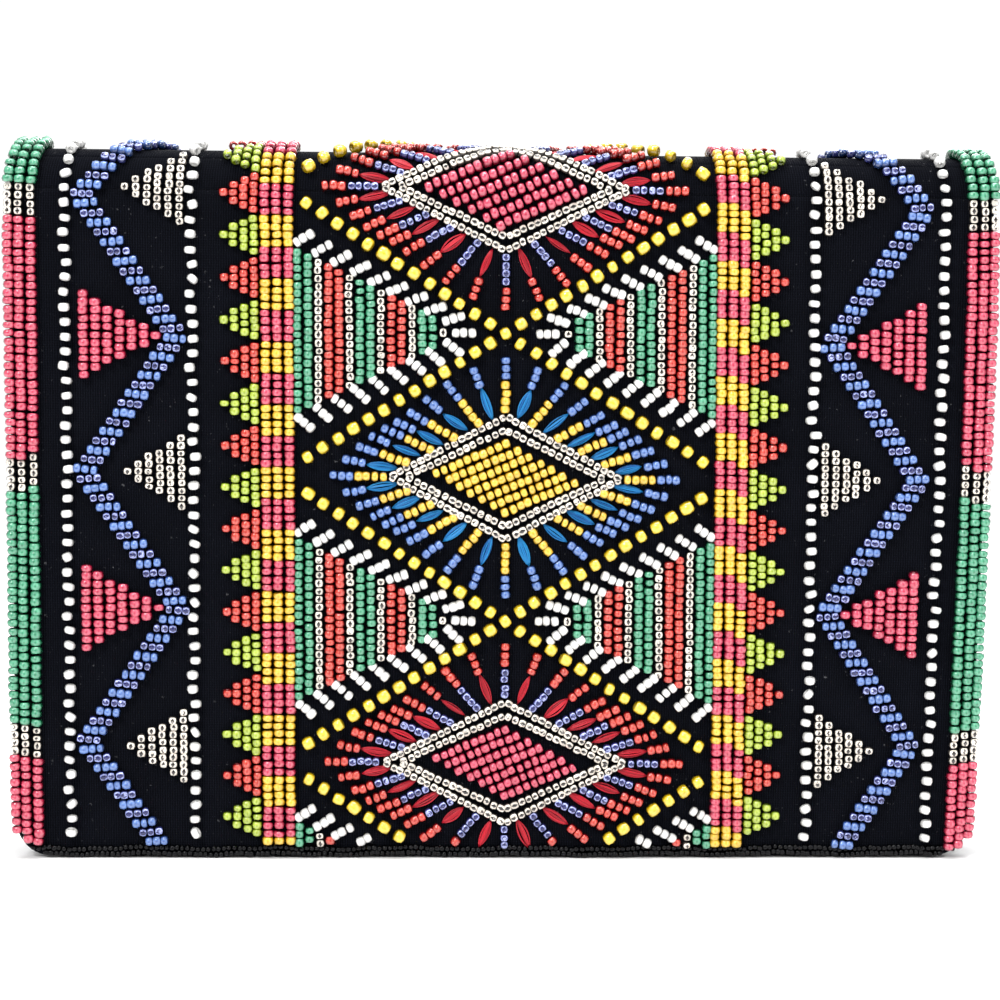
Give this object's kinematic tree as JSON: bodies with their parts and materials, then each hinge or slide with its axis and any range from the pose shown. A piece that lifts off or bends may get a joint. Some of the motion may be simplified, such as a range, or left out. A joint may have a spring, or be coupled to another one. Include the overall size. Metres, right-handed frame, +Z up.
{
  "type": "clutch purse",
  "caption": "Slim rectangular clutch purse whose beaded flap covers the whole front and opens over a soft top fold, with a magnetic snap and an inner zip pocket.",
  "frame": {"origin": "middle of the footprint, on the surface that the purse stands on", "axes": "+Z up, +X to the right of a viewer who faces the beaded flap, -Y towards that viewer"},
  "size_m": [0.254, 0.0239, 0.184],
  "materials": {
    "canvas": "black cotton canvas with a fine rib",
    "board": "grey-brown stiffening board",
    "satin": "black satin lining",
    "nickel": "nickel plate",
    "magnet": "dark ring magnet",
    "zip_nylon": "black nylon zip",
    "black_bead": "gloss black glass",
    "green_bead": "opaque gloss glass",
    "lime_bead": "opaque gloss glass",
    "blue_bead": "opaque gloss glass",
    "navy_bead": "silver-lined navy glass",
    "yellow_bead": "opaque gloss glass",
    "pink_bead": "opaque gloss glass",
    "red_bead": "opaque gloss glass",
    "white_bead": "opaque gloss glass",
    "silver_bead": "silver-lined clear glass"
  },
  "bodies": {
    "body": {"back_cover": "canvas", "back_board": "board", "back_lining": "satin", "front_cover": "canvas", "front_board": "board", "front_lining": "satin", "slip_pocket": "satin", "mouth_binding": "canvas", "base_cover": "canvas", "base_board": "board", "base_lining": "satin", "side_gusset_left": "satin", "side_gusset_right": "satin", "zip_pocket_bag": "satin", "zip_tape_upper": "zip_nylon", "zip_tape_lower": "zip_nylon", "zip_coil_upper": "zip_nylon", "zip_coil_lower": "zip_nylon", "zip_stop_left": "nickel", "zip_stop_right": "nickel", "snap_socket": "nickel", "snap_magnet": "magnet"},
    "zip_slider": {"zip_slider": "nickel"},
    "zip_pull": {"zip_pull": "nickel"},
    "fold_rear": {"fold_cover_rear": "canvas", "fold_lining_rear": "satin", "fold_beads_rear": "navy_bead"},
    "fold_top": {"fold_cover_top": "canvas", "fold_lining_top": "satin", "fold_beads_top": "white_bead"},
    "fold_front": {"fold_cover_front": "canvas", "fold_lining_front": "satin", "fold_beads_front": "green_bead"},
    "flap": {"flap_cover": "canvas", "flap_board": "board", "flap_lining": "satin", "snap_stud": "nickel", "hem_beads": "black_bead", "shoulder_beads": "green_bead", "border_left": "green_bead", "toothed_band_left": "lime_bead", "zigzag_left": "blue_bead", "stripes_upper_left": "red_bead", "stripes_lower_left": "red_bead", "wedge_upper_left": "pink_bead", "wedge_lower_left": "pink_bead", "border_right": "green_bead", "toothed_band_right": "lime_bead", "zigzag_right": "blue_bead", "stripes_upper_right": "red_bead", "stripes_lower_right": "red_bead", "wedge_upper_right": "pink_bead", "wedge_lower_right": "pink_bead", "diamond_lower": "silver_bead", "diamond_middle": "yellow_bead", "diamond_upper": "silver_bead", "lattice_lower": "yellow_bead", "lattice_upper": "yellow_bead"}
  },
  "joints": [
    {"name": "zip_slide", "type": "slide", "parent": "body", "child": "zip_slider", "axis": [1, 0, 0], "range_m": [0, 0.113]},
    {"name": "zip_pull_hinge", "type": "hinge", "parent": "zip_slider", "child": "zip_pull", "pos_m": [-0.0565, 0.00423, 0.149], "axis": [0, 0, -1], "range_deg": [0, 180]},
    {"name": "fold_rear_hinge", "type": "hinge", "parent": "body", "child": "fold_rear", "pos_m": [0, 0.01044, 0.17518], "axis": [-1, 0, 0], "range_deg": [0, 45]},
    {"name": "fold_top_hinge", "type": "hinge", "parent": "fold_rear", "child": "fold_top", "pos_m": [0, 0.00481, 0.18081], "axis": [-1, 0, 0], "range_deg": [0, 45]},
    {"name": "fold_front_hinge", "type": "hinge", "parent": "fold_top", "child": "fold_front", "pos_m": [0, -0.00315, 0.18081], "axis": [-1, 0, 0], "range_deg": [0, 45]},
    {"name": "flap_hinge", "type": "hinge", "parent": "fold_front", "child": "flap", "pos_m": [0, -0.00878, 0.17518], "axis": [-1, 0, 0], "range_deg": [0, 45]}
  ],
  "couplings": [
    {"joint": "fold_rear_hinge", "follows": "flap_hinge", "ratio": 1},
    {"joint": "fold_top_hinge", "follows": "flap_hinge", "ratio": 1},
    {"joint": "fold_front_hinge", "follows": "flap_hinge", "ratio": 1}
  ]
}
